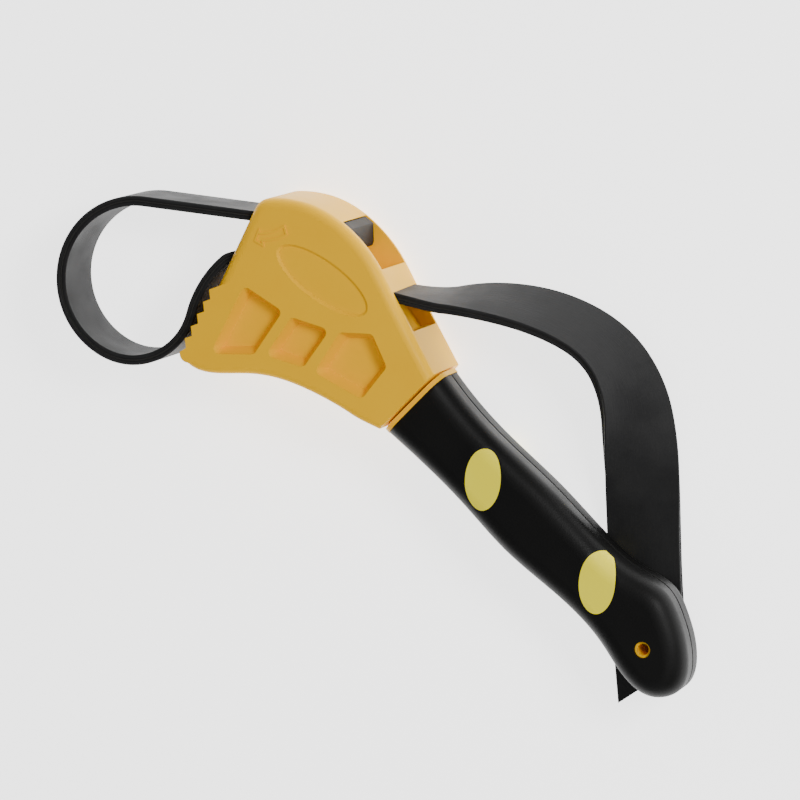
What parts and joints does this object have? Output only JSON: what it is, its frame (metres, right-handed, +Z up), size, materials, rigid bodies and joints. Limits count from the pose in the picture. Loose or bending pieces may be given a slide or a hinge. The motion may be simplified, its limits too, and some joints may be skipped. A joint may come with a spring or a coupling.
{
  "type": "strap_wrench",
  "caption": "Rubber strap wrench lying on its side: yellow plastic head with a toothed jaw, black strap in a loop with a free tail, black soft-grip handle with lemon oval inlays",
  "frame": {"origin": "centre of the base, on the surface the tool lies on, under the middle of its head, loop and handle without the free tail", "axes": "+X from the head along the handle, +Y towards the crown of the head, +Z up through the tool's thickness"},
  "size_m": [0.2573, 0.1373, 0.0344],
  "materials": {
    "yellow_plastic": "satin",
    "lemon_plastic": "satin",
    "grip_rubber": "satin",
    "strap_rubber": "satin",
    "cord_fabric": "matte"
  },
  "bodies": {
    "tool": {"head_moulding": "yellow_plastic", "handle_core": "yellow_plastic", "grip_shell_upper": "grip_rubber", "grip_shell_lower": "grip_rubber", "grip_inlay_neck_upper": "lemon_plastic", "grip_inlay_neck_lower": "lemon_plastic", "grip_inlay_end_upper": "lemon_plastic", "grip_inlay_end_lower": "lemon_plastic", "strap_bead": "strap_rubber", "loop_outer_rubber": "strap_rubber", "loop_cord_ply": "cord_fabric", "loop_inner_rubber": "strap_rubber"},
    "free_tail": {"tail_outer_rubber": "strap_rubber", "tail_cord_ply": "cord_fabric", "tail_inner_rubber": "strap_rubber"}
  },
  "joints": [
    {"name": "strap_feed", "type": "slide", "parent": "tool", "child": "free_tail", "axis": [0.8526, 0.5225, 0], "range_m": [0, 0.035]}
  ]
}
